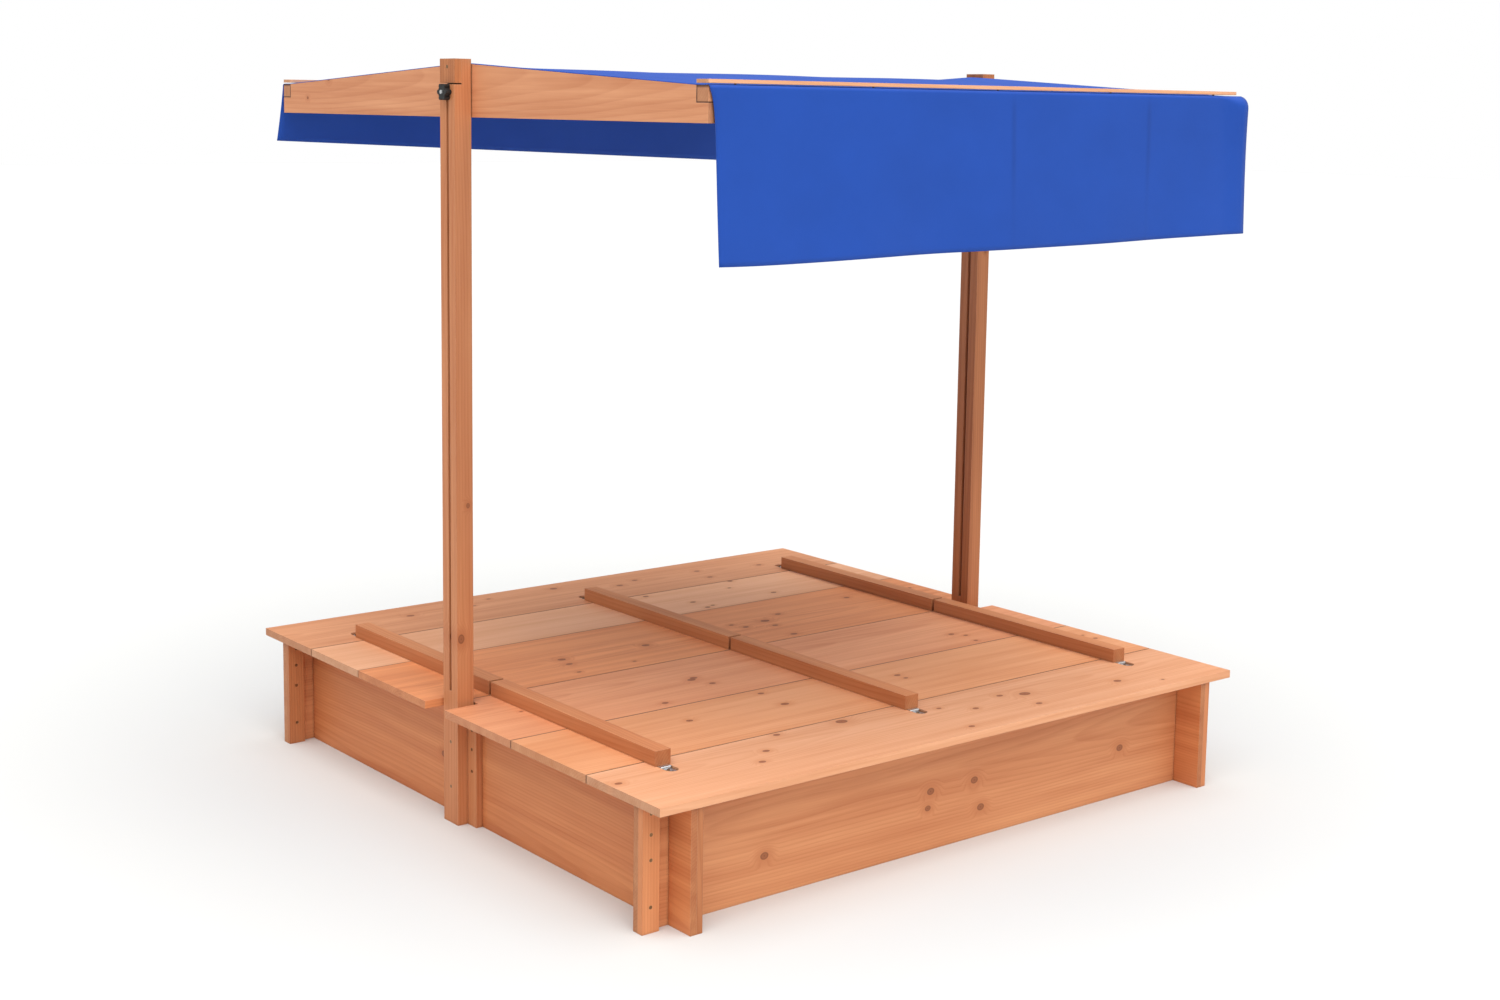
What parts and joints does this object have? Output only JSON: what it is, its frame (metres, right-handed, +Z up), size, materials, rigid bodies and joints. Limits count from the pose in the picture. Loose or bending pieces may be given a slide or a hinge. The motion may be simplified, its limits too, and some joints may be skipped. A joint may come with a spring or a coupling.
{
  "type": "covered sandbox",
  "caption": "Square timber sandbox with a two-leaf hinged plank lid and a low-pitched fabric canopy that slides and tilts on two slotted posts.",
  "frame": {"origin": "on the ground under the middle of the box", "axes": "+X from the left post to the right post, +Y from the side with the long valance to the back, +Z up"},
  "size_m": [1.15, 1.1786, 1.15],
  "materials": {
    "stained_fir": "sawn and planed fir with an orange-brown glaze",
    "canopy_fabric": "coated blue polyester weave",
    "zinc_steel": "zinc plated",
    "knob_plastic": "moulded black"
  },
  "bodies": {
    "box": {"back_inner_corner_batten": "stained_fir", "back_left_hinge_fixed_leaf": "zinc_steel", "back_middle_hinge_fixed_leaf": "zinc_steel", "back_outer_corner_batten": "stained_fir", "back_right_hinge_fixed_leaf": "zinc_steel", "back_rim_plank": "stained_fir", "back_wall": "stained_fir", "box_screws": "zinc_steel", "front_inner_corner_batten": "stained_fir", "front_left_hinge_fixed_leaf": "zinc_steel", "front_middle_hinge_fixed_leaf": "zinc_steel", "front_outer_corner_batten": "stained_fir", "front_right_hinge_fixed_leaf": "zinc_steel", "front_rim_plank": "stained_fir", "front_wall": "stained_fir", "left_inner_corner_batten": "stained_fir", "left_outer_corner_batten": "stained_fir", "left_post": "stained_fir", "left_post_cleat": "stained_fir", "left_post_head_block": "stained_fir", "left_wall": "stained_fir", "right_inner_corner_batten": "stained_fir", "right_outer_corner_batten": "stained_fir", "right_post": "stained_fir", "right_post_cleat": "stained_fir", "right_post_head_block": "stained_fir", "right_wall": "stained_fir"},
    "front_lid": {"front_left_hinge_moving_leaf": "zinc_steel", "front_left_lid_batten": "stained_fir", "front_lid_inner_plank": "stained_fir", "front_lid_outer_plank": "stained_fir", "front_lid_screws": "zinc_steel", "front_middle_hinge_moving_leaf": "zinc_steel", "front_middle_lid_batten": "stained_fir", "front_right_hinge_moving_leaf": "zinc_steel", "front_right_lid_batten": "stained_fir"},
    "back_lid": {"back_left_hinge_moving_leaf": "zinc_steel", "back_left_lid_batten": "stained_fir", "back_lid_inner_plank": "stained_fir", "back_lid_outer_plank": "stained_fir", "back_lid_screws": "zinc_steel", "back_middle_hinge_moving_leaf": "zinc_steel", "back_middle_lid_batten": "stained_fir", "back_right_hinge_moving_leaf": "zinc_steel", "back_right_lid_batten": "stained_fir"},
    "canopy_carriage": {"left_pivot_bolt": "zinc_steel", "right_pivot_bolt": "zinc_steel"},
    "canopy": {"back_canopy_rail": "stained_fir", "back_clamp_strip": "stained_fir", "canopy_back_valance": "canopy_fabric", "canopy_front_valance": "canopy_fabric", "canopy_screws": "zinc_steel", "canopy_top": "canopy_fabric", "front_canopy_rail": "stained_fir", "front_clamp_strip": "stained_fir", "left_gable_board": "stained_fir", "right_gable_board": "stained_fir"},
    "left_knob": {"left_knob": "knob_plastic"},
    "right_knob": {"right_knob": "knob_plastic"}
  },
  "joints": [
    {"name": "front_lid_hinge", "type": "hinge", "parent": "box", "child": "front_lid", "pos_m": [0, -0.437, 0.186], "axis": [1, 0, 0], "range_deg": [0, 95]},
    {"name": "back_lid_hinge", "type": "hinge", "parent": "box", "child": "back_lid", "pos_m": [0, 0.437, 0.186], "axis": [-1, 0, 0], "range_deg": [0, 95]},
    {"name": "canopy_slide", "type": "slide", "parent": "box", "child": "canopy_carriage", "axis": [0, 0, 1], "range_m": [-0.874, 0]},
    {"name": "canopy_tilt", "type": "hinge", "parent": "canopy_carriage", "child": "canopy", "pos_m": [0, 0, 1.102], "axis": [1, 0, 0], "range_deg": [0, 25]},
    {"name": "left_knob_turn", "type": "hinge", "parent": "canopy_carriage", "child": "left_knob", "pos_m": [-0.553, 0, 1.102], "axis": [-1, 0, 0], "continuous": true},
    {"name": "right_knob_turn", "type": "hinge", "parent": "canopy_carriage", "child": "right_knob", "pos_m": [0.553, 0, 1.102], "axis": [1, 0, 0], "continuous": true}
  ]
}
